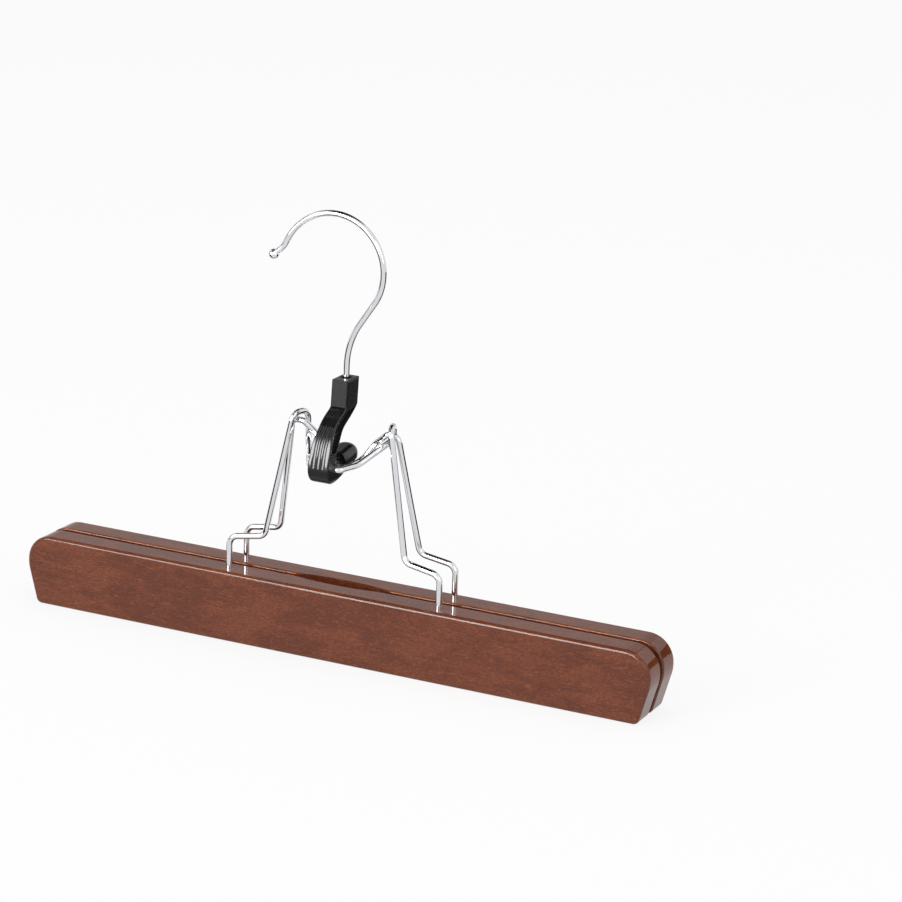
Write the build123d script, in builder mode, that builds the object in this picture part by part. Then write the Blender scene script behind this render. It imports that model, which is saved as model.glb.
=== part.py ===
"""Skirt hanger with two felt-lined wooden jaws, interlinked wire arms, a cam lever and a swivel hook.

Millimetres, +Z up. X runs along the jaws, -Y is the front. The origin is the middle of the gap
between the jaws, on the surface that their undersides stand on.
"""
import os
from math import atan2, cos, degrees, radians, sin, sqrt

from build123d import *

# Jaw bars of lacquered wood
bar_length = 320.0
bar_height = 34.0
bar_thickness = 13.0
jaw_gap = 3.4
bar_widest_share = 0.544
bar_top_corner_share = 0.8
bar_end_radius = 15.0
bar_foot_inset = 5.0
bar_foot_corner_radius = 3.0
bar_outer_edge_radius = 1.8
bar_inner_edge_radius = 0.9
relief_length = 50.0
relief_depth = 2.8
relief_height = 4.0

# Felt linings glued to the inner faces
felt_length = 300.0
felt_height = 26.0
felt_thickness = 1.55
felt_corner_radius = 2.0

# Chromed steel wire of both arms and of the hook
wire_diameter = 2.9
leg_spacing = 108.0
leg_depth = 22.0
leg_bore_clearance = 0.04
leg_rise = 15.4
jog_rise = 3.0
jog_spacing = 72.0
jog_lean = 0.6
jog_bend_radius = 4.5

# Hinge, where the front wire loops once round the crown of the rear wire
hinge_height = 108.2
loop_front_clearance = 0.4
loop_top_clearance = 0.8
loop_rear_clearance = 2.8
loop_entry_spacing = 49.4
loop_rear_spacing = 44.0
loop_exit_spacing = 43.4
loop_exit_lean = 0.2
loop_exit_drop = 3.6
loop_bend_radius = 4.1
loop_exit_bend_radius = 3.6
crown_outer_spacing = 53.8
crown_inner_spacing = 42.8
crown_bend_radius = 3.4

# Runs from the hinge to the trough of each wire, measured from the hinge line
front_shoulder_spacing = 24.6
front_shoulder_reach = 10.5
front_shoulder_drop = 13.2
front_shoulder_bend_radius = 9.0
front_trough_reach = 19.0
front_trough_drop = 14.1
front_trough_length = 15.2
front_trough_bend_radius = 3.0
rear_elbow_spacing = 30.4
rear_elbow_reach = -1.4
rear_elbow_drop = 5.2
rear_shoulder_spacing = 21.0
rear_shoulder_reach = 2.5
rear_shoulder_drop = 13.0
rear_run_bend_radius = 6.0
rear_trough_reach = 12.0
rear_trough_drop = 14.6
rear_trough_length = 15.6
rear_trough_bend_radius = 2.6

# Cam lever of black plastic
hub_radius = 6.9
hub_width = 10.4
hub_corner_radius = 3.4
hub_bore_clearance = 0.07
block_width = 8.4
block_front = 6.2
block_rear = 5.0
block_height = 12.2
block_top_rise = 23.6
block_lean = 1.0
arm_thickness = 7.4
arm_front_shares = ((0.26, 0.11), (0.58, 0.29), (0.79, 0.50), (0.93, 0.76))
arm_back_shares = ((0.15, 0.14), (0.36, 0.27), (0.58, 0.40), (0.80, 0.64), (0.93, 0.80))
taper_bend_radius = 20.0
lever_edge_radius = 0.8
flute_pitch = 2.3
flute_radius = 1.6
flute_depth = 0.35
flute_route_shares = (0.0, 0.2, 0.4, 0.6, 0.8, 1.0)
flute_head_drop = 6.4
flute_foot_rise = 0.8
web_thickness = 6.8
flange_thickness = 1.6
web_head_drop = 1.5
web_foot_rise = 7.6
seat_clearance = 0.25
seat_lip = 1.5
tab_width = 11.6
tab_front_gap = 3.1
tab_front_rise = 5.4
tab_rear = 6.4
tab_rear_rise = 7.7
tab_thickness = 6.4
tab_crown_radius = 4.2
tab_foot_radius = 1.2

# Travel in degrees, which shapes the open seat
lever_travel = 50.0
jaw_travel = 10.0

# Swivel hook and the socket that holds it
hook_radius = 24.9
hook_offset = 7.8
hook_centre_rise = 73.0
hook_neck_radius = 35.5
hook_neck_length = 12.5
hook_crown_angle = 113.4
hook_side_radius = 28.7
hook_side_turn = 41.7
hook_tip_radius = 10.9
hook_tip_turn = 27.0
hook_tip_length = 3.7
hook_ball_diameter = 4.8
hook_head_diameter = 5.2
hook_head_height = 1.4
stem_clearance = 0.06
stem_flare_diameter = 6.0
washer_diameter = 6.4
washer_thickness = 0.8
socket_roof = 4.4
socket_height = 4.4
socket_width = 6.9
socket_clearance = 0.3

overrun = 2.0

os.makedirs("parts", exist_ok=True)

wire_radius = wire_diameter / 2
bar_centre = (jaw_gap + bar_thickness) / 2
bar_widest_height = bar_widest_share * bar_height
bar_top_corner_radius = bar_top_corner_share * (bar_height - bar_widest_height)
relief_radius = (relief_length**2 / 4 + relief_depth**2) / (2 * relief_depth)
jog_z = bar_height + leg_rise + jog_rise
pivot_y = -front_trough_reach
pivot_z = hinge_height - front_trough_drop
seat_y = -rear_trough_reach
seat_z = hinge_height - rear_trough_drop
seat_radius = wire_radius + seat_clearance
block_top = hinge_height + block_top_rise
block_foot = block_top - block_height


def leg_points(side):
    """Return the foot, the elbow and the jog of the leg in the front bar (-1) or the rear one (1)."""
    y = side * bar_centre
    return [
        (leg_spacing / 2, y, bar_height - leg_depth),
        (leg_spacing / 2, y, bar_height + leg_rise),
        (jog_spacing / 2, y - side * jog_lean, jog_z),
    ]


def mirrored(values):
    """Return the values of the right half from foot to middle, and then on to the left foot."""
    if isinstance(values[0], tuple):
        return values + [(-x, y, z) for x, y, z in reversed(values)]
    return values + values[::-1]


# Front and rear jaw bars
for bar_name, side in (("front_bar", -1), ("rear_bar", 1)):
    with BuildPart() as bar:
        with BuildSketch(Plane.XZ.offset(-side * jaw_gap / 2)):
            with BuildLine():
                Polyline(
                    (0, bar_height),
                    (bar_length / 2, bar_height),
                    (bar_length / 2, bar_widest_height),
                    (bar_length / 2 - bar_foot_inset, 0),
                    (0, 0),
                )
                mirror(about=Plane.YZ)
            make_face()
            fillet(vertices().group_by(Axis.Y)[1], bar_end_radius)
            fillet(vertices().group_by(Axis.Y)[-1], bar_top_corner_radius)
            fillet(vertices().group_by(Axis.Y)[0], bar_foot_corner_radius)
        extrude(amount=-side * bar_thickness)
        across = bar.faces().sort_by(Axis.Y)
        outer_face, inner_face = (across[0], across[-1]) if side < 0 else (across[-1], across[0])
        fillet(outer_face.edges(), bar_outer_edge_radius)
        fillet(inner_face.edges(), bar_inner_edge_radius)
        with Locations((0, side * bar_centre, bar_height)):
            with GridLocations(leg_spacing, 0, 2, 1):
                Hole(wire_radius + leg_bore_clearance, leg_depth)
        # Shallow relief in the inner top edge between the legs
        with BuildSketch(Plane.XY.offset(bar_height - relief_height)):
            with Locations((0, side * (jaw_gap / 2 + relief_depth - relief_radius))):
                Circle(relief_radius)
        extrude(amount=relief_height + overrun, mode=Mode.SUBTRACT)
    bar.part.label = bar_name
    export_step(bar.part, f"parts/{bar_name}.step")

# Felt linings, one on the inner face of each bar
for felt_name, side in (("front_felt", -1), ("rear_felt", 1)):
    with BuildPart() as felt:
        with BuildSketch(Plane.XZ.offset(-side * jaw_gap / 2)):
            with Locations((0, bar_height / 2)):
                RectangleRounded(felt_length, felt_height, felt_corner_radius)
        extrude(amount=side * felt_thickness)
    felt.part.label = felt_name
    export_step(felt.part, f"parts/{felt_name}.step")

# Front wire: legs, a full turn round the rear wire at each side, and the lever's trough
loop_top = hinge_height + wire_diameter + loop_top_clearance
loop_rear = wire_diameter + loop_rear_clearance
with BuildPart() as front_wire:
    front_points = mirrored(
        leg_points(-1)
        + [
            (loop_entry_spacing / 2, -wire_diameter - loop_front_clearance, loop_top),
            (loop_rear_spacing / 2, loop_rear, loop_top),
            (loop_exit_spacing / 2, loop_rear - loop_exit_lean, hinge_height - loop_exit_drop),
            (front_shoulder_spacing / 2, -front_shoulder_reach, hinge_height - front_shoulder_drop),
            (front_trough_length / 2, pivot_y, pivot_z),
        ]
    )
    front_radii = mirrored(
        [jog_bend_radius] * 2
        + [loop_bend_radius] * 2
        + [loop_exit_bend_radius, front_shoulder_bend_radius, front_trough_bend_radius]
    )
    with BuildLine() as front_path:
        FilletPolyline(front_points, radius=front_radii)
    with BuildSketch(Plane(origin=front_path.line @ 0, z_dir=front_path.line % 0)):
        Circle(wire_radius)
    sweep(path=front_path.line)
front_wire.part.label = "front_wire"
export_step(front_wire.part, "parts/front_wire.step")

# Rear wire: legs, straight crowns on the hinge line, and the trough that the cam lifts
with BuildPart() as rear_wire:
    rear_points = mirrored(
        leg_points(1)
        + [
            (crown_outer_spacing / 2, 0, hinge_height),
            (crown_inner_spacing / 2, 0, hinge_height),
            (rear_elbow_spacing / 2, -rear_elbow_reach, hinge_height - rear_elbow_drop),
            (rear_shoulder_spacing / 2, -rear_shoulder_reach, hinge_height - rear_shoulder_drop),
            (rear_trough_length / 2, seat_y, seat_z),
        ]
    )
    rear_radii = mirrored(
        [jog_bend_radius] * 2
        + [crown_bend_radius] * 2
        + [rear_run_bend_radius] * 2
        + [rear_trough_bend_radius]
    )
    with BuildLine() as rear_path:
        FilletPolyline(rear_points, radius=rear_radii)
    with BuildSketch(Plane(origin=rear_path.line @ 0, z_dir=rear_path.line % 0)):
        Circle(wire_radius)
    sweep(path=rear_path.line)
rear_wire.part.label = "rear_wire"
export_step(rear_wire.part, "parts/rear_wire.step")


def trough_in_lever(share):
    """Return where the rear trough lies in the lever, in Y and Z, after a share of the full travel."""
    jaw = radians(jaw_travel * share)
    cam = radians(lever_travel * share)
    y = -rear_trough_reach * cos(jaw) + rear_trough_drop * sin(jaw) + front_trough_reach
    z = -rear_trough_reach * sin(jaw) - rear_trough_drop * cos(jaw) + front_trough_drop
    return (pivot_y + y * cos(cam) - z * sin(cam), pivot_z + y * sin(cam) + z * cos(cam))


# Thumb tab behind the seat: crowned, with a round rear end
tab_front = seat_y + tab_front_gap
tab_front_top = seat_z + tab_front_rise
tab_rear_top = seat_z + tab_rear_rise
tab_foot = tab_rear_top - tab_thickness
hub_foot = pivot_z - hub_radius
with BuildPart() as tab:
    with BuildSketch(Plane.YZ):
        with BuildLine():
            Polyline(
                (tab_front, seat_z),
                (tab_front, tab_front_top),
                (tab_rear, tab_rear_top),
                (tab_rear, tab_foot),
                (tab_front, (tab_foot + hub_foot) / 2),
                close=True,
            )
        make_face()
    extrude(amount=tab_width / 2, both=True)
    with BuildSketch(Plane.XY.offset(hub_foot)):
        with Locations((0, tab_rear - tab_width / 2)):
            Circle(tab_width / 2)
            Rectangle(tab_width, tab_rear - tab_front, align=(Align.CENTER, Align.MAX))
    extrude(amount=2 * hub_radius + tab_thickness, mode=Mode.INTERSECT)
    top_edges = tab.faces().sort_by(Axis.Z)[-1].edges().sort_by(Axis.Y)
    fillet(top_edges[1:], tab_crown_radius)
    fillet(tab.faces().sort_by(Axis.Y)[0].edges().sort_by(Axis.Z)[-1], lever_edge_radius)
    fillet(tab.faces().sort_by(Axis.Z)[0].edges().sort_by(Axis.Y)[1:], tab_foot_radius)

# Cam lever: block for the hook, arm, hub on the front trough, seat under the rear trough, and tab
arm_reach = hub_radius - pivot_y - block_front - block_lean
arm_drop = block_foot - pivot_z
arm_foot = (pivot_y - hub_radius + arm_thickness, pivot_z + wire_radius + seat_lip)
back_reach = block_rear - block_lean - arm_foot[0]
back_drop = block_foot - arm_foot[1]
seat_wall_top = seat_z + seat_lip
outline_foot = hub_foot - lever_edge_radius
thumb_head = (-block_front - block_lean, block_foot)
thumb_points = [
    thumb_head,
    *[(thumb_head[0] - arm_reach * y, block_foot - arm_drop * z) for y, z in arm_front_shares],
    (pivot_y - hub_radius, pivot_z),
]
thumb_ends = ((-block_lean, -block_lean), (0, -1))
back_points = [
    (block_rear - block_lean, block_foot),
    *[
        (block_rear - block_lean - back_reach * y, block_foot - back_drop * z)
        for y, z in arm_back_shares
    ],
    arm_foot,
]
back_ends = ((-1, -2), (0, -1))


def moved_back(points, distance):
    """Return points of the side view moved to the rear."""
    return [(y + distance, z) for y, z in points]


def arm_strip(front_points, rear_points, rear_ends, foot, head):
    """Draw what lies between two long curves of the arm, from the height of its foot to its head."""
    with BuildSketch(Plane.YZ) as strip:
        with BuildLine():
            front = Spline(*front_points, tangents=thumb_ends)
            rear = Spline(*rear_points, tangents=rear_ends)
            Line(front @ 0, rear @ 0)
            Line(front @ 1, rear @ 1)
        make_face()
        with Locations((0, foot)):
            Rectangle(bar_length, head - foot, align=(Align.CENTER, Align.MIN), mode=Mode.INTERSECT)
    return strip.sketch


# One flute of the thumb face, as a round rod that lies along the face
thumb_curve = Spline(*thumb_points, tangents=thumb_ends)
flute_lift = flute_radius - flute_depth
flute_route = []
for share in flute_route_shares:
    spot, along = thumb_curve @ share, thumb_curve % share
    flute_route.append((0, spot.X + flute_lift * along.Y, spot.Y - flute_lift * along.X))
with BuildPart() as flute:
    with BuildLine() as rod_path:
        Spline(*flute_route)
    with BuildSketch(Plane(origin=rod_path.line @ 0, z_dir=rod_path.line % 0)):
        Circle(flute_radius)
    sweep(path=rod_path.line)
    with Locations((0, pivot_y, pivot_z + flute_foot_rise)):
        Box(
            hub_width,
            2 * arm_drop,
            arm_drop - flute_head_drop - flute_foot_rise,
            align=(Align.CENTER, Align.CENTER, Align.MIN),
            mode=Mode.INTERSECT,
        )

# The hollow in each side of the arm
hollow_view = arm_strip(
    moved_back(thumb_points, flange_thickness),
    moved_back(back_points, -flange_thickness),
    back_ends,
    pivot_z + web_foot_rise,
    block_foot - web_head_drop,
)
right_hollow = extrude(hollow_view, amount=hub_width / 2).moved(Location((web_thickness / 2, 0, 0)))
left_hollow = mirror(right_hollow, about=Plane.YZ)
with BuildPart() as clamp_lever:
    with BuildSketch(Plane.YZ):
        with BuildLine():
            Line((-block_front, block_top), thumb_head)
            Spline(*thumb_points, tangents=thumb_ends)
            RadiusArc(thumb_points[-1], (pivot_y, hub_foot), -hub_radius)
            Line((pivot_y, hub_foot), arm_foot)
            Spline(*back_points, tangents=back_ends)
            Polyline(back_points[0], (block_rear, block_top), (-block_front, block_top))
        make_face()
        with BuildLine():
            Polyline(
                (pivot_y, hub_foot),
                (tab_front + tab_front_gap, (tab_foot + hub_foot) / 2 + lever_edge_radius),
                (tab_front + tab_front_gap, seat_wall_top),
                (tab_front, seat_wall_top),
                (seat_y - seat_radius, seat_wall_top),
                arm_foot,
                close=True,
            )
        make_face()
    extrude(amount=hub_width / 2, both=True)
    with BuildSketch(Plane.XZ):
        with BuildLine():
            Polyline(
                (0, block_top),
                (block_width / 2, block_top),
                (block_width / 2, block_foot - block_width),
                (hub_width / 2, tab_rear_top + overrun),
                (hub_width / 2, outline_foot),
                (0, outline_foot),
            )
            mirror(about=Plane.YZ)
        make_face()
        fillet(vertices().group_by(Axis.Y)[0], hub_corner_radius)
        tapers = vertices().filter_by(lambda corner: hub_foot + hub_radius < corner.Y < block_top)
        fillet(tapers, taper_bend_radius)
    extrude(amount=bar_length / 2, both=True, mode=Mode.INTERSECT)
    rims = clamp_lever.edges().filter_by(Axis.X, reverse=True).filter_by(Axis.Y, reverse=True)
    top_rims = clamp_lever.faces().sort_by(Axis.Z)[-1].edges().filter_by(Axis.Y)
    fillet(rims.filter_by(lambda rim: rim.center().Z > arm_foot[1]) + top_rims, lever_edge_radius)

    # Flutes in the thumb face, and a hollow in each side of the arm
    with Locations((-flute_pitch, 0, 0), (0, 0, 0), (flute_pitch, 0, 0)):
        add(flute.part, mode=Mode.SUBTRACT)
    add([right_hollow, left_hollow], mode=Mode.SUBTRACT)
    add(tab.part)
    with BuildSketch(Plane.YZ):
        with Locations(trough_in_lever(0), trough_in_lever(1 / 2), trough_in_lever(1)):
            Circle(seat_radius)
        make_hull()
    extrude(amount=tab_width, both=True, mode=Mode.SUBTRACT)
    with BuildSketch(Plane.YZ):
        with Locations((pivot_y, pivot_z)):
            Circle(wire_radius + hub_bore_clearance)
    extrude(amount=tab_width, both=True, mode=Mode.SUBTRACT)

    # Bore and flare for the stem, and a socket open to the rear for its head
    with Locations((0, 0, block_top)):
        CounterSinkHole(wire_radius + stem_clearance, stem_flare_diameter / 2, depth=socket_roof + overrun)
    with Locations((0, -socket_width / 2, block_top - socket_roof)):
        Box(
            socket_width,
            socket_width + block_rear,
            socket_height,
            align=(Align.CENTER, Align.MIN, Align.MAX),
            mode=Mode.SUBTRACT,
        )
clamp_lever.part.label = "clamp_lever"
export_step(clamp_lever.part, "parts/clamp_lever.step")

# Swivel hook: stem with an upset head, neck, bight, turned-out tip and ball
hook_centre = hinge_height + hook_centre_rise
neck_reach = hook_neck_radius + hook_offset
neck_span = sqrt((hook_neck_radius + hook_radius) ** 2 + hook_neck_length**2)
neck_drop = sqrt(neck_span**2 - neck_reach**2)
neck_turn = degrees(
    atan2(neck_drop, neck_reach) - atan2(hook_neck_length, hook_neck_radius + hook_radius)
)
socket_top = block_top - socket_roof
washer_top = socket_top - socket_clearance
head_top = washer_top - washer_thickness
with BuildPart() as hook:
    with BuildLine(Plane.XZ) as hook_path:
        stem = Line((0, head_top), (0, hook_centre - neck_drop))
        bend = JernArc(stem @ 1, stem % 1, hook_neck_radius, -neck_turn)
        neck = Line(bend @ 1, bend @ 1 + hook_neck_length * (bend % 1))
        crown = JernArc(neck @ 1, neck % 1, hook_radius, neck_turn + hook_crown_angle)
        side = JernArc(crown @ 1, crown % 1, hook_side_radius, hook_side_turn)
        flick = JernArc(side @ 1, side % 1, hook_tip_radius, -hook_tip_turn)
        tip = Line(flick @ 1, flick @ 1 + hook_tip_length * (flick % 1))
    with BuildSketch(Plane.XY.offset(head_top)):
        Circle(wire_radius)
    sweep(path=hook_path.line)
    with Locations(tip @ 1):
        Sphere(hook_ball_diameter / 2)
    with Locations((0, 0, head_top)):
        Cylinder(
            hook_head_diameter / 2, hook_head_height, align=(Align.CENTER, Align.CENTER, Align.MAX)
        )
hook.part.label = "hook"
export_step(hook.part, "parts/hook.step")

# Washer between the hook's head and the roof of its socket
with BuildPart() as hook_washer:
    with BuildSketch(Plane.XY.offset(head_top)):
        Circle(washer_diameter / 2)
        Circle(wire_radius + stem_clearance, mode=Mode.SUBTRACT)
    extrude(amount=washer_thickness)
hook_washer.part.label = "hook_washer"
export_step(hook_washer.part, "parts/hook_washer.step")
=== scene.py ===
"""Looks of a skirt hanger with two lacquered jaws, chromed wire arms, a black cam lever and a swivel hook.

Every length is in metres. The frame holds the hanger's own parts at their places, and each operator
below gives one group of them its finish or its finer form.
"""
from math import radians

import bmesh
import bpy
from mathutils import Matrix, Vector, noise


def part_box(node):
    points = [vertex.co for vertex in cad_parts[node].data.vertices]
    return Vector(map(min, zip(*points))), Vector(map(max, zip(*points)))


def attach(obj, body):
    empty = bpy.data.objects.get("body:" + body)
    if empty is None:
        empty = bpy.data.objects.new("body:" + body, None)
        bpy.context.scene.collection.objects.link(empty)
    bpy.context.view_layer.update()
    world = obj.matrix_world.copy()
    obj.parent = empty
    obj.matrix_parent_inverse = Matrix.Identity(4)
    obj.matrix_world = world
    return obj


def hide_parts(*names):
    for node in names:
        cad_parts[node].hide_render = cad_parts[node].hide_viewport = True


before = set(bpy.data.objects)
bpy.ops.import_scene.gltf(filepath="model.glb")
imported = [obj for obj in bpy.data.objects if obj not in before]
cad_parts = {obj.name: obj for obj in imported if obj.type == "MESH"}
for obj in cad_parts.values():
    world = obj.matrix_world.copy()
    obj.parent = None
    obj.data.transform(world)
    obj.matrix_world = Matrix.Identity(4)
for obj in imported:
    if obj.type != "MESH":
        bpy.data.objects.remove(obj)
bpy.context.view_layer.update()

bl_info = {
    "name": "Skirt Hanger",
    "version": (1, 0, 0),
    "blender": (4, 5, 0),
    "location": "View3D > Sidebar > Hanger",
    "description": "Dresses a wooden clamp hanger with lacquer, chrome, plastic and felt",
    "category": "Object",
}

MM = 0.001

# Heights on the lever, from its top down to the block's foot and from its lowest point up to the hub's top
BLOCK_HEIGHT = 12.2 * MM
HUB_HEIGHT = 7.7 * MM

# The felt's corners, its rims, and the grain of its fuzz
FELT_CORNER = 2 * MM
FELT_RIM = 0.3 * MM
FELT_GRAIN = 0.35 * MM
NAP_GRAIN = 2 * MM

# Width of the band along a bar's top edges where the stain is rubbed thin and a highlight is painted on
EDGE_WIDTH = 1.3 * MM

# What the lamps and panels are turned towards, and how far the low wedges hang over the bars
AIM = Vector((0.0, 0.0, 0.08))
WEDGE_LIFT = 8 * MM


# Colours are written as a paint chart gives them and turned into Blender's linear values.
def linear(red, green, blue):
    """Return the linear RGBA of an sRGB colour given from 0 to 255."""
    channels = []
    for channel in (red, green, blue):
        share = channel / 255
        channels.append(share / 12.92 if share <= 0.04045 else ((share + 0.055) / 1.055) ** 2.4)
    return (*channels, 1.0)


class StageSettings(bpy.types.PropertyGroup):
    """Camera, lamps and floor."""

    camera_place: bpy.props.FloatVectorProperty(
        name="Camera place",
        description="Where the camera stands",
        default=(0.661626, -1.287349, 0.532125),
        subtype="TRANSLATION",
        unit="LENGTH",
    )
    camera_azimuth: bpy.props.FloatProperty(
        name="Camera azimuth",
        description="Turn of the view round the hanger, from straight in front",
        default=radians(25.29),
        subtype="ANGLE",
    )
    camera_elevation: bpy.props.FloatProperty(
        name="Camera elevation",
        description="How far the camera looks down",
        default=radians(16.67),
        subtype="ANGLE",
    )
    camera_roll: bpy.props.FloatProperty(
        name="Camera roll",
        description="Lean of the camera about its own line of sight",
        default=radians(2.12),
        subtype="ANGLE",
    )
    camera_lens: bpy.props.FloatProperty(
        name="Camera lens",
        description="Focal length in millimetres on a 36 mm sensor",
        default=133.12,
        min=20,
    )
    room_light: bpy.props.FloatProperty(
        name="Room light",
        description="Strength of the even light from all round",
        default=0.55,
        min=0,
    )
    floor_size: bpy.props.FloatProperty(
        name="Floor size",
        description="Side of the square floor",
        default=8.0,
        unit="LENGTH",
    )


class BarSettings(bpy.types.PropertyGroup):
    """Stain and lacquer of the two jaw bars."""

    stain: bpy.props.FloatVectorProperty(
        name="Stain",
        description="Main colour of the stained wood",
        default=linear(134, 72, 46)[:3],
        subtype="COLOR",
    )
    stain_dark: bpy.props.FloatVectorProperty(
        name="Dark mottle",
        description="Colour where the stain soaked in deepest",
        default=linear(74, 31, 21)[:3],
        subtype="COLOR",
    )
    stain_fleck: bpy.props.FloatVectorProperty(
        name="Fleck",
        description="Colour of the small light flecks in the figure",
        default=linear(158, 92, 60)[:3],
        subtype="COLOR",
    )
    # Lighter colour along the bars' top edges: partly stain thinned by sanding, partly a painted highlight
    # on the rounded edges
    edge: bpy.props.FloatVectorProperty(
        name="Rubbed edge and highlight",
        description="Colour where sanding thinned the stain along the edges",
        default=linear(166, 92, 50)[:3],
        subtype="COLOR",
    )
    lacquer_roughness: bpy.props.FloatProperty(
        name="Lacquer roughness",
        description="Roughness of the clear lacquer",
        default=0.07,
        min=0,
        max=1,
    )


class WireSettings(bpy.types.PropertyGroup):
    """Chrome of the arms and the hook."""

    chrome: bpy.props.FloatVectorProperty(
        name="Chrome",
        description="Colour of the chrome plate",
        default=linear(216, 217, 220)[:3],
        subtype="COLOR",
    )
    polish: bpy.props.FloatProperty(
        name="Roughness",
        description="Roughness of the plating where it is cleanest",
        default=0.045,
        min=0,
        max=1,
    )


class LeverSettings(bpy.types.PropertyGroup):
    """Black plastic of the cam lever."""

    black: bpy.props.FloatVectorProperty(
        name="Black",
        description="Colour of the moulded plastic",
        default=linear(9, 9, 10)[:3],
        subtype="COLOR",
    )
    satin_black: bpy.props.FloatVectorProperty(
        name="Satin black",
        description="Colour of the block and the hub, which are less polished",
        default=linear(20, 20, 21)[:3],
        subtype="COLOR",
    )
    gloss: bpy.props.FloatProperty(
        name="Polished roughness",
        description="Roughness of the polished thumb face and tab",
        default=0.21,
        min=0,
        max=1,
    )
    satin: bpy.props.FloatProperty(
        name="Satin roughness",
        description="Roughness of the block and the hub",
        default=0.24,
        min=0,
        max=1,
    )


class FeltSettings(bpy.types.PropertyGroup):
    """Felt linings of the jaws."""

    dye: bpy.props.FloatVectorProperty(
        name="Dye",
        description="Colour of the felt",
        default=linear(30, 24, 24)[:3],
        subtype="COLOR",
    )
    nap: bpy.props.FloatProperty(
        name="Nap",
        description="Depth of the felt's fuzz",
        default=0.12 * MM,
        unit="LENGTH",
    )


# Small helpers for shader trees
def tree_of(material):
    """Give the material an empty tree with a Principled BSDF and return the tree and that shader."""
    material.use_nodes = True
    tree = material.node_tree
    tree.nodes.clear()
    output = tree.nodes.new("ShaderNodeOutputMaterial")
    shader = tree.nodes.new("ShaderNodeBsdfPrincipled")
    tree.links.new(shader.outputs["BSDF"], output.inputs["Surface"])
    return tree, shader


def node(tree, kind, inputs=None, **settings):
    """Add a node, set its properties, and set or link its inputs."""
    made = tree.nodes.new(kind)
    for key, value in settings.items():
        setattr(made, key, value)
    for key, value in (inputs or {}).items():
        if isinstance(value, bpy.types.NodeSocket):
            tree.links.new(value, made.inputs[key])
        else:
            made.inputs[key].default_value = value
    return made


def ramp(tree, factor, low, high):
    """Return a smooth mask that rises from 0 to 1 as the factor goes from low to high."""
    step = node(
        tree,
        "ShaderNodeMapRange",
        {"Value": factor, "From Min": low, "From Max": high},
        interpolation_type="SMOOTHSTEP",
    )
    return step.outputs["Result"]


def times(tree, first, second):
    """Return the product of two values."""
    return node(tree, "ShaderNodeMath", {0: first, 1: second}, operation="MULTIPLY").outputs[0]


def mixed(tree, factor, first, second):
    """Return the first colour turned to the second by the factor."""
    mix = node(tree, "ShaderNodeMix", data_type="RGBA")
    for key, value in (("Factor_Float", factor), ("A_Color", first), ("B_Color", second)):
        socket = next(s for s in mix.inputs if s.identifier == key)
        if isinstance(value, bpy.types.NodeSocket):
            tree.links.new(value, socket)
        else:
            socket.default_value = value
    return next(s for s in mix.outputs if s.identifier == "Result_Color")


def new_group(name, inputs, outputs):
    """Make a shader node group with named sockets and return it with its two end nodes."""
    group = bpy.data.node_groups.new(name, "ShaderNodeTree")
    for label, kind, value in inputs:
        socket = group.interface.new_socket(label, in_out="INPUT", socket_type=kind)
        if value is not None:
            socket.default_value = value
    for label, kind in outputs:
        group.interface.new_socket(label, in_out="OUTPUT", socket_type=kind)
    return group, group.nodes.new("NodeGroupInput"), group.nodes.new("NodeGroupOutput")


def placed(tree, group, **inputs):
    """Place a node group in a material's tree with its own values."""
    return node(tree, "ShaderNodeGroup", inputs, node_tree=group)


def surface_speckle():
    """Return the group that breaks up roughness and gives a fine unevenness, for every finish."""
    name = "surface_speckle"
    if name in bpy.data.node_groups:
        return bpy.data.node_groups[name]
    group, start, end = new_group(
        name,
        [
            ("Grain Size", "NodeSocketFloat", MM),
            ("Low", "NodeSocketFloat", 0.1),
            ("High", "NodeSocketFloat", 0.2),
            ("Depth", "NodeSocketFloat", 0.1),
        ],
        [("Roughness", "NodeSocketFloat"), ("Normal", "NodeSocketVector")],
    )
    place = node(group, "ShaderNodeTexCoord").outputs["Object"]
    scale = node(group, "ShaderNodeMath", {0: 1.0, 1: start.outputs["Grain Size"]}, operation="DIVIDE")
    speck = node(
        group,
        "ShaderNodeTexNoise",
        {"Vector": place, "Scale": scale.outputs[0], "Detail": 3.0, "Roughness": 0.6},
    )
    level = node(
        group,
        "ShaderNodeMapRange",
        {
            "Value": speck.outputs["Fac"],
            "From Min": 0.3,
            "From Max": 0.7,
            "To Min": start.outputs["Low"],
            "To Max": start.outputs["High"],
        },
    )
    bump = node(
        group,
        "ShaderNodeBump",
        {"Height": speck.outputs["Fac"], "Strength": start.outputs["Depth"], "Distance": 0.1 * MM},
    )
    group.links.new(level.outputs["Result"], end.inputs["Roughness"])
    group.links.new(bump.outputs["Normal"], end.inputs["Normal"])
    return group


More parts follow.
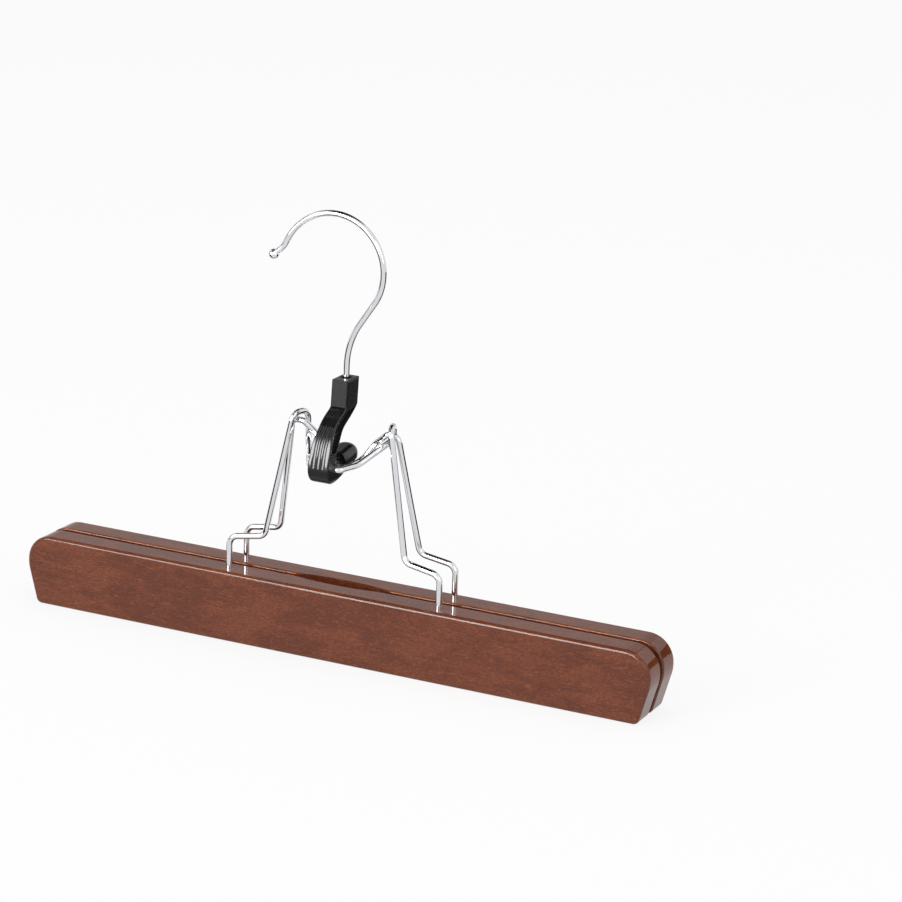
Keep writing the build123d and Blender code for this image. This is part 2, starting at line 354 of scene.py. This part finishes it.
def rubbed_edge(bar_top, inner_y, outer_y):
    """Return the group that masks the two long top edges of a bar, where sanding thins the stain and a
    highlight is painted on.
    """
    group, start, end = new_group(
        "rubbed_edge", [("Width", "NodeSocketFloat", MM)], [("Mask", "NodeSocketFloat")]
    )
    place = node(group, "ShaderNodeTexCoord").outputs["Object"]
    apart = node(group, "ShaderNodeSeparateXYZ", {0: place})
    depth = node(group, "ShaderNodeMath", {0: apart.outputs["Y"]}, operation="ABSOLUTE").outputs[0]
    breaks = node(group, "ShaderNodeTexNoise", {"Vector": place, "Scale": 1 / (9 * MM), "Detail": 4.0})
    masks = []
    for edge_y, weight in ((inner_y, 1.0), (outer_y, 0.3)):
        across = node(group, "ShaderNodeMath", {0: depth, 1: edge_y}, operation="SUBTRACT").outputs[0]
        down = node(
            group, "ShaderNodeMath", {0: apart.outputs["Z"], 1: bar_top}, operation="SUBTRACT"
        ).outputs[0]
        offset = node(group, "ShaderNodeCombineXYZ", {"Y": across, "Z": down})
        reach = node(group, "ShaderNodeVectorMath", {0: offset.outputs[0]}, operation="LENGTH")
        share = node(
            group,
            "ShaderNodeMath",
            {0: reach.outputs["Value"], 1: start.outputs["Width"]},
            operation="DIVIDE",
        ).outputs[0]
        masks.append(times(group, ramp(group, share, 1.0, 0.3), weight))
    both = node(group, "ShaderNodeMath", {0: masks[0], 1: masks[1]}, operation="MAXIMUM").outputs[0]
    # One broken band holds both the sanded wear and the painted highlight
    worn_and_highlit = times(group, both, ramp(group, breaks.outputs["Fac"], 0.3, 0.62))
    group.links.new(worn_and_highlit, end.inputs["Mask"])
    return group


def stained_figure():
    """Return the group of the wood's own figure: soft mottle, short fibres and light flecks."""
    group, start, end = new_group(
        "stained_figure",
        [("Grain Size", "NodeSocketFloat", MM)],
        [("Mottle", "NodeSocketFloat"), ("Fibre", "NodeSocketFloat"), ("Fleck", "NodeSocketFloat")],
    )
    place = node(group, "ShaderNodeTexCoord").outputs["Object"]
    scale = node(
        group, "ShaderNodeMath", {0: 1.0, 1: start.outputs["Grain Size"]}, operation="DIVIDE"
    ).outputs[0]
    unit = node(group, "ShaderNodeVectorMath", {0: place, "Scale": scale}, operation="SCALE").outputs[0]
    along = node(group, "ShaderNodeMapping", {"Vector": unit, "Scale": (0.32, 1, 1)}).outputs[0]
    mottle = node(
        group,
        "ShaderNodeTexNoise",
        {"Vector": along, "Scale": 0.11, "Detail": 6.0, "Roughness": 0.68, "Distortion": 0.5},
    )
    streak = node(group, "ShaderNodeMapping", {"Vector": unit, "Scale": (0.4, 1.4, 1.4)}).outputs[0]
    fibre = node(
        group,
        "ShaderNodeTexNoise",
        {"Vector": streak, "Scale": 1.5, "Detail": 6.0, "Roughness": 0.65, "Distortion": 0.4},
    )
    spot = node(group, "ShaderNodeMapping", {"Vector": unit, "Scale": (0.28, 1.1, 1.1)}).outputs[0]
    fleck = node(
        group,
        "ShaderNodeTexNoise",
        {"Vector": spot, "Scale": 0.75, "Detail": 5.0, "Roughness": 0.72, "Distortion": 1.2},
    )
    group.links.new(mottle.outputs["Fac"], end.inputs["Mottle"])
    group.links.new(fibre.outputs["Fac"], end.inputs["Fibre"])
    group.links.new(ramp(group, fleck.outputs["Fac"], 0.52, 0.68), end.inputs["Fleck"])
    return group


def rgba(colour):
    """Return a property's colour with full opacity."""
    return (*colour, 1.0)


def lacquered_wood(settings):
    """Return the reddish-brown stained wood under a clear gloss lacquer, with lighter top edges that are
    partly rubbed stain and partly a painted highlight.
    """
    material = bpy.data.materials.new("lacquered_wood_finish")
    tree, shader = tree_of(material)
    low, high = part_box("rear_bar")
    figure = placed(tree, stained_figure(), **{"Grain Size": MM})
    soaked = ramp(tree, figure.outputs["Mottle"], 0.62, 0.40)
    base = mixed(tree, times(tree, soaked, 0.42), rgba(settings.stain), rgba(settings.stain_dark))
    fibred = mixed(
        tree,
        times(tree, ramp(tree, figure.outputs["Fibre"], 0.58, 0.42), 0.5),
        base,
        rgba(settings.stain_dark),
    )
    flecked = mixed(tree, times(tree, figure.outputs["Fleck"], 0.55), fibred, rgba(settings.stain_fleck))
    # Lighter band along the top edges, partly rubbed-thin stain and partly a painted highlight
    edges = placed(tree, rubbed_edge(high.z, low.y, high.y), Width=EDGE_WIDTH)
    worn_and_highlit = mixed(tree, times(tree, edges.outputs["Mask"], 0.75), flecked, rgba(settings.edge))
    tree.links.new(worn_and_highlit, shader.inputs["Base Color"])
    speckle = placed(
        tree, surface_speckle(), **{"Grain Size": 6 * MM, "Low": 0.5, "High": 0.62, "Depth": 0.03}
    )
    tree.links.new(speckle.outputs["Roughness"], shader.inputs["Roughness"])
    tree.links.new(speckle.outputs["Normal"], shader.inputs["Normal"])
    shader.inputs["Specular IOR Level"].default_value = 0.0
    shader.inputs["Coat Weight"].default_value = 1.0
    shader.inputs["Coat Roughness"].default_value = settings.lacquer_roughness
    shader.inputs["Coat IOR"].default_value = 1.38
    return material


def chrome(settings):
    """Return bright chrome plate with faint handling haze."""
    material = bpy.data.materials.new("chrome_finish")
    tree, shader = tree_of(material)
    shader.inputs["Base Color"].default_value = rgba(settings.chrome)
    shader.inputs["Metallic"].default_value = 1.0
    speckle = placed(
        tree,
        surface_speckle(),
        **{"Grain Size": 5 * MM, "Low": settings.polish, "High": 2.2 * settings.polish, "Depth": 0.02},
    )
    tree.links.new(speckle.outputs["Roughness"], shader.inputs["Roughness"])
    tree.links.new(speckle.outputs["Normal"], shader.inputs["Normal"])
    return material


def plain_steel():
    """Return the bare steel of the washer."""
    material = bpy.data.materials.new("washer_finish")
    tree, shader = tree_of(material)
    shader.inputs["Base Color"].default_value = linear(165, 165, 168)
    shader.inputs["Metallic"].default_value = 1.0
    speckle = placed(
        tree, surface_speckle(), **{"Grain Size": 0.5 * MM, "Low": 0.25, "High": 0.45, "Depth": 0.1}
    )
    tree.links.new(speckle.outputs["Roughness"], shader.inputs["Roughness"])
    tree.links.new(speckle.outputs["Normal"], shader.inputs["Normal"])
    return material


def black_plastic(settings, block_foot, hub_top):
    """Return black moulded plastic, polished between the block's foot and the hub's top."""
    material = bpy.data.materials.new("black_plastic_finish")
    tree, shader = tree_of(material)
    place = node(tree, "ShaderNodeTexCoord").outputs["Object"]
    height = node(tree, "ShaderNodeSeparateXYZ", {0: place}).outputs["Z"]
    above_hub = ramp(tree, height, hub_top - 0.3 * MM, hub_top + 0.3 * MM)
    below_block = ramp(tree, height, block_foot + 0.4 * MM, block_foot - 0.4 * MM)
    polished = times(tree, above_hub, below_block)
    shine = node(tree, "ShaderNodeMapRange", {"Value": polished, "To Min": 0.22, "To Max": 0.55})
    tree.links.new(shine.outputs["Result"], shader.inputs["Specular IOR Level"])
    shade = mixed(tree, polished, rgba(settings.satin_black), rgba(settings.black))
    tree.links.new(shade, shader.inputs["Base Color"])
    satin = placed(
        tree,
        surface_speckle(),
        **{"Grain Size": 0.6 * MM, "Low": settings.satin, "High": 1.2 * settings.satin, "Depth": 0.12},
    )
    gloss = placed(
        tree,
        surface_speckle(),
        **{"Grain Size": 4 * MM, "Low": settings.gloss, "High": 1.3 * settings.gloss, "Depth": 0.04},
    )
    level = node(
        tree,
        "ShaderNodeMapRange",
        {
            "Value": polished,
            "To Min": satin.outputs["Roughness"],
            "To Max": gloss.outputs["Roughness"],
        },
    )
    tree.links.new(level.outputs["Result"], shader.inputs["Roughness"])
    tree.links.new(gloss.outputs["Normal"], shader.inputs["Normal"])
    return material


def felt(settings):
    """Return dense dark felt with a matte, fuzzy surface."""
    material = bpy.data.materials.new("felt_finish")
    tree, shader = tree_of(material)
    place = node(tree, "ShaderNodeTexCoord").outputs["Object"]
    fuzz = node(
        tree,
        "ShaderNodeTexNoise",
        {"Vector": place, "Scale": 1 / FELT_GRAIN, "Detail": 6.0, "Roughness": 0.75},
    )
    shade = mixed(
        tree, ramp(tree, fuzz.outputs["Fac"], 0.35, 0.7), linear(14, 11, 11), rgba(settings.dye)
    )
    tree.links.new(shade, shader.inputs["Base Color"])
    shader.inputs["Roughness"].default_value = 0.95
    shader.inputs["Sheen Weight"].default_value = 0.3
    bump = node(
        tree,
        "ShaderNodeBump",
        {"Height": fuzz.outputs["Fac"], "Strength": 0.6, "Distance": 0.15 * MM},
    )
    tree.links.new(bump.outputs["Normal"], shader.inputs["Normal"])
    return material


def finish_nodes(material, *names):
    """Give the frame's own parts one material."""
    for name in names:
        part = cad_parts[name]
        part.data.materials.clear()
        part.data.materials.append(material)


def mesh_piece(name, build, material, body):
    """Make a mesh object from a bmesh, give it its material, and let it ride on a body."""
    mesh = bpy.data.meshes.new(name)
    build.to_mesh(mesh)
    build.free()
    mesh.materials.append(material)
    piece = bpy.data.objects.new(name, mesh)
    bpy.context.scene.collection.objects.link(piece)
    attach(piece, body)
    return piece


class HANGER_OT_stage(bpy.types.Operator):
    """Set up the camera, the floor, the lamps and the room's light."""

    bl_idname = "hanger.stage"
    bl_label = "Stage"

    def execute(self, context):
        settings = context.scene.hanger_stage
        self.camera(context, settings)
        self.room(context, settings)
        self.floor(context, settings)
        self.lamps(context)
        self.panels(context)
        context.scene.view_settings.view_transform = "Standard"
        return {"FINISHED"}

    def camera(self, context, settings):
        """Place the camera at the photograph's viewing angle."""
        data = bpy.data.cameras.new("camera")
        data.lens = settings.camera_lens
        data.sensor_width = 36.0
        data.clip_start, data.clip_end = 0.05, 50.0
        camera = bpy.data.objects.new("camera", data)
        context.scene.collection.objects.link(camera)
        turn = Matrix.Rotation(settings.camera_azimuth, 3, "Z")
        tilt = Matrix.Rotation(radians(90) - settings.camera_elevation, 3, "X")
        roll = Matrix.Rotation(settings.camera_roll, 3, "Z")
        camera.matrix_world = Matrix.LocRotScale(
            settings.camera_place, (turn @ tilt @ roll).to_quaternion(), None
        )
        context.scene.camera = camera

    def room(self, context, settings):
        """Light evenly from all round, and show plain white to the camera and to what mirrors."""
        world = bpy.data.worlds.new("room")
        context.scene.world = world
        world.use_nodes = True
        tree = world.node_tree
        tree.nodes.clear()
        output = node(tree, "ShaderNodeOutputWorld")
        even = node(tree, "ShaderNodeBackground", {"Color": (1, 1, 1, 1), "Strength": settings.room_light})
        white = node(tree, "ShaderNodeBackground", {"Color": (1, 1, 1, 1), "Strength": 1.0})
        self.seen_white(tree, even.outputs[0], white.outputs[0], output.inputs["Surface"])

    def seen_white(self, tree, lit, white, target):
        """Join two shaders so that camera, glossy and transmission rays find the white one."""
        path = node(tree, "ShaderNodeLightPath")
        camera_or_glossy = node(
            tree,
            "ShaderNodeMath",
            {0: path.outputs["Is Camera Ray"], 1: path.outputs["Is Glossy Ray"]},
            operation="MAXIMUM",
        )
        seen = node(
            tree,
            "ShaderNodeMath",
            {0: camera_or_glossy.outputs[0], 1: path.outputs["Is Transmission Ray"]},
            operation="MAXIMUM",
        )
        mix = node(tree, "ShaderNodeMixShader", {0: seen.outputs[0], 1: lit, 2: white})
        tree.links.new(mix.outputs[0], target)

    def floor(self, context, settings):
        """Lay a pale floor that reads as white and still takes a soft shadow."""
        material = bpy.data.materials.new("floor_finish")
        material.use_nodes = True
        tree = material.node_tree
        tree.nodes.clear()
        output = node(tree, "ShaderNodeOutputMaterial")
        pale = node(tree, "ShaderNodeBsdfDiffuse", {"Color": (0.88, 0.88, 0.88, 1)})
        glow = node(tree, "ShaderNodeEmission", {"Color": (1, 1, 1, 1), "Strength": 1.06})
        white = node(tree, "ShaderNodeMixShader", {0: 0.8, 1: pale.outputs[0], 2: glow.outputs[0]})
        self.seen_white(tree, pale.outputs[0], white.outputs[0], output.inputs["Surface"])
        build = bmesh.new()
        bmesh.ops.create_grid(build, x_segments=1, y_segments=1, size=settings.floor_size / 2)
        mesh = bpy.data.meshes.new("floor")
        build.to_mesh(mesh)
        build.free()
        mesh.materials.append(material)
        floor = bpy.data.objects.new("floor", mesh)
        context.scene.collection.objects.link(floor)

    def lamps(self, context):
        """Hang three soft boxes round the hanger. Nothing mirrors the one above it."""
        for name, place, size, power in (
            ("key_box", (-0.95, -2.05, 0.78), (0.9, 1.4), 21.0),
            ("fill_box", (1.7, -1.1, 0.9), (1.0, 1.2), 6.0),
            ("top_box", (0.2, 0.5, 1.9), (1.6, 0.9), 3.0),
        ):
            data = bpy.data.lights.new(name, "AREA")
            data.shape = "RECTANGLE"
            data.size, data.size_y = size
            data.energy = power
            lamp = bpy.data.objects.new(name, data)
            lamp.location = place
            lamp.rotation_euler = (Vector(place) - AIM).to_track_quat("Z", "Y").to_euler()
            context.scene.collection.objects.link(lamp)
            lamp.visible_glossy = name != "top_box"

    def panels(self, context):
        """Hang dark, grey and bright panels for the wires, the lacquer and the lever to mirror."""
        dark = self.panel_finish("flag_finish", 0.0)
        grey = self.panel_finish("grey_finish", 0.62)
        bright = self.panel_finish("glow_finish", 11.0)
        for name, place, size, material in (
            ("flag_over", (-0.3, 0.3, 2.5), (2.4, 1.4), dark),
            ("flag_behind", (-0.73, 1.43, 1.86), (2.6, 1.4), dark),
            ("flag_left", (-2.1, -0.75, 0.8), (0.9, 1.2), dark),
            ("flag_high", (-0.95, -1.15, 1.9), (1.7, 1.1), dark),
            ("grey_behind", (-1.05, 2.05, 0.72), (3.2, 1.3), grey),
            ("glow_front", (-1.0, -2.35, 0.9), (2.6, 1.8), bright),
        ):
            build = bmesh.new()
            bmesh.ops.create_grid(build, x_segments=1, y_segments=1, size=0.5)
            turn = (Vector(place) - AIM).to_track_quat("Z", "Y")
            stand = Matrix.LocRotScale(Vector(place), turn, Vector((*size, 1)))
            bmesh.ops.transform(build, matrix=stand, verts=build.verts)
            self.panel(context, name, build, material)
        # The wedges hang just above the bars, so that only the wires and the lever mirror them
        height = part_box("front_bar")[1].z + WEDGE_LIFT
        for name, outline in (
            ("wedge_right", ((0.3, 0.045), (1.1, 0.1), (0.35, 1.0), (0.02, 0.045))),
            ("wedge_left", ((-0.3, -0.045), (-1.1, -0.14), (-0.7, -0.9), (-0.03, -0.045))),
        ):
            build = bmesh.new()
            build.faces.new([build.verts.new((*corner, height)) for corner in outline])
            self.panel(context, name, build, dark)

    def panel_finish(self, name, glow):
        """Return a near-black finish with a plain white glow of the given strength."""
        material = bpy.data.materials.new(name)
        shader = tree_of(material)[1]
        shader.inputs["Base Color"].default_value = (0.004, 0.004, 0.004, 1)
        shader.inputs["Specular IOR Level"].default_value = 0.0
        shader.inputs["Emission Color"].default_value = (1, 1, 1, 1)
        shader.inputs["Emission Strength"].default_value = glow
        return material

    def panel(self, context, name, build, material):
        """Make a panel that only polished surfaces mirror."""
        mesh = bpy.data.meshes.new(name)
        build.to_mesh(mesh)
        build.free()
        mesh.materials.append(material)
        panel = bpy.data.objects.new(name, mesh)
        panel.visible_camera = False
        panel.visible_diffuse = False
        panel.visible_shadow = False
        context.scene.collection.objects.link(panel)


class HANGER_OT_bars(bpy.types.Operator):
    """Stain and lacquer the two jaw bars."""

    bl_idname = "hanger.bars"
    bl_label = "Jaw bars"

    def execute(self, context):
        finish_nodes(lacquered_wood(context.scene.hanger_bars), "front_bar", "rear_bar")
        return {"FINISHED"}


class HANGER_OT_felts(bpy.types.Operator):
    """Lay a napped felt lining over the inner face of each bar."""

    bl_idname = "hanger.felts"
    bl_label = "Felt linings"

    def execute(self, context):
        settings = context.scene.hanger_felts
        material = felt(settings)
        for node_name, body, bar in (
            ("front_felt", "front_jaw", "front_bar"),
            ("rear_felt", "rear_jaw", "rear_bar"),
        ):
            low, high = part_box(node_name)
            size = high - low
            build = bmesh.new()
            bmesh.ops.create_cube(build, size=1.0)
            bmesh.ops.scale(build, vec=size, verts=build.verts)
            bmesh.ops.translate(build, vec=(low + high) / 2, verts=build.verts)
            corners = [e for e in build.edges if abs(e.verts[0].co.y - e.verts[1].co.y) > size.y / 2]
            bmesh.ops.bevel(
                build,
                geom=corners,
                offset=FELT_CORNER,
                affect="EDGES",
                segments=4,
                profile=0.5,
                material=-1,
            )
            rims = [e for e in build.edges if abs(e.calc_length() - size.y) > size.y / 100]
            bmesh.ops.bevel(
                build, geom=rims, offset=FELT_RIM, affect="EDGES", segments=3, profile=0.5, material=-1
            )
            bmesh.ops.subdivide_edges(
                build,
                edges=[e for e in build.edges if e.calc_length() > size.z / 2],
                cuts=60,
                use_grid_fill=True,
            )
            middle = (low.y + high.y) / 2
            for vert in build.verts:
                lift = noise.fractal(vert.co / NAP_GRAIN, 0.8, 2.0, 4)
                outwards = 1 if vert.co.y > middle else -1
                vert.co.y += (0.5 * lift - 0.5) * settings.nap * outwards
            piece = mesh_piece(node_name + "_nap", build, material, body)
            piece.data.polygons.foreach_set("use_smooth", [True] * len(piece.data.polygons))
            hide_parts(node_name)
        return {"FINISHED"}


class HANGER_OT_wires(bpy.types.Operator):
    """Plate the wire arms and the hook with chrome, and leave the washer bare steel."""

    bl_idname = "hanger.wires"
    bl_label = "Wires and hook"

    def execute(self, context):
        finish_nodes(chrome(context.scene.hanger_wires), "front_wire", "rear_wire", "hook")
        finish_nodes(plain_steel(), "hook_washer")
        return {"FINISHED"}


class HANGER_OT_lever(bpy.types.Operator):
    """Finish the black cam lever."""

    bl_idname = "hanger.lever"
    bl_label = "Cam lever"

    def execute(self, context):
        low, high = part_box("clamp_lever")
        plastic = black_plastic(context.scene.hanger_lever, high.z - BLOCK_HEIGHT, low.z + HUB_HEIGHT)
        finish_nodes(plastic, "clamp_lever")
        return {"FINISHED"}


class HANGER_PT_panel(bpy.types.Panel):
    """List the hanger's operators and settings."""

    bl_idname = "HANGER_PT_panel"
    bl_label = "Skirt Hanger"
    bl_space_type = "VIEW_3D"
    bl_region_type = "UI"
    bl_category = "Hanger"

    def draw(self, context):
        scene = context.scene
        for operator, settings in OPERATORS:
            box = self.layout.box()
            box.operator(operator.bl_idname)
            for name in settings.__annotations__:
                box.prop(getattr(scene, SETTINGS[settings]), name)


SETTINGS = {
    StageSettings: "hanger_stage",
    BarSettings: "hanger_bars",
    FeltSettings: "hanger_felts",
    WireSettings: "hanger_wires",
    LeverSettings: "hanger_lever",
}
OPERATORS = (
    (HANGER_OT_stage, StageSettings),
    (HANGER_OT_bars, BarSettings),
    (HANGER_OT_felts, FeltSettings),
    (HANGER_OT_wires, WireSettings),
    (HANGER_OT_lever, LeverSettings),
)


def register():
    """Register the settings, the operators and the panel."""
    for settings, name in SETTINGS.items():
        bpy.utils.register_class(settings)
        setattr(bpy.types.Scene, name, bpy.props.PointerProperty(type=settings))
    for operator, _ in OPERATORS:
        bpy.utils.register_class(operator)
    bpy.utils.register_class(HANGER_PT_panel)


def unregister():
    """Take everything out again, in the opposite order."""
    bpy.utils.unregister_class(HANGER_PT_panel)
    for operator, _ in reversed(OPERATORS):
        bpy.utils.unregister_class(operator)
    for settings, name in reversed(SETTINGS.items()):
        delattr(bpy.types.Scene, name)
        bpy.utils.unregister_class(settings)


def main():
    """Dress the hanger."""
    register()
    bpy.ops.hanger.stage()
    bpy.ops.hanger.bars()
    bpy.ops.hanger.felts()
    bpy.ops.hanger.wires()
    bpy.ops.hanger.lever()
    bpy.context.view_layer.update()


if __name__ == "__main__":
    main()
